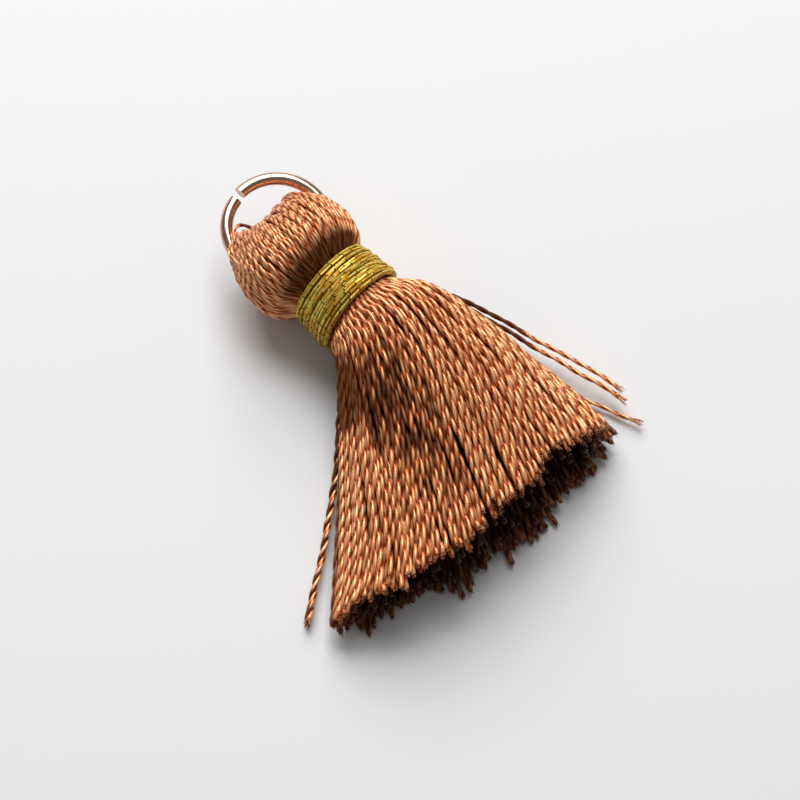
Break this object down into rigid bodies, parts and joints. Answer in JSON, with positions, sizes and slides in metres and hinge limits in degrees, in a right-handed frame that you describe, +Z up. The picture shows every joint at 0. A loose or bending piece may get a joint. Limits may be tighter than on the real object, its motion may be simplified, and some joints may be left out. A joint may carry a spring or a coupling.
{
  "type": "silk tassel on a jump ring",
  "caption": "Small silk tassel: twisted threads folded over an open jump ring, bound at the neck with gold thread, their cut ends fanned out, lying on its side.",
  "frame": {"origin": "on the surface that the tassel lies on, under the middle of the part's box", "axes": "+Y along the tassel from its cut ends to its ring, +Z up from the surface"},
  "size_m": [0.0277, 0.0314, 0.0085],
  "materials": {
    "silk": "lustrous twisted silk thread, copper brown",
    "gold_thread": "metallic gold foil thread, wound in crossing turns",
    "ring_metal": "polished, rose gold plated"
  },
  "bodies": {
    "root": {"silk_tassel": "silk", "gold_binding": "gold_thread", "jump_ring": "ring_metal"}
  },
  "joints": []
}
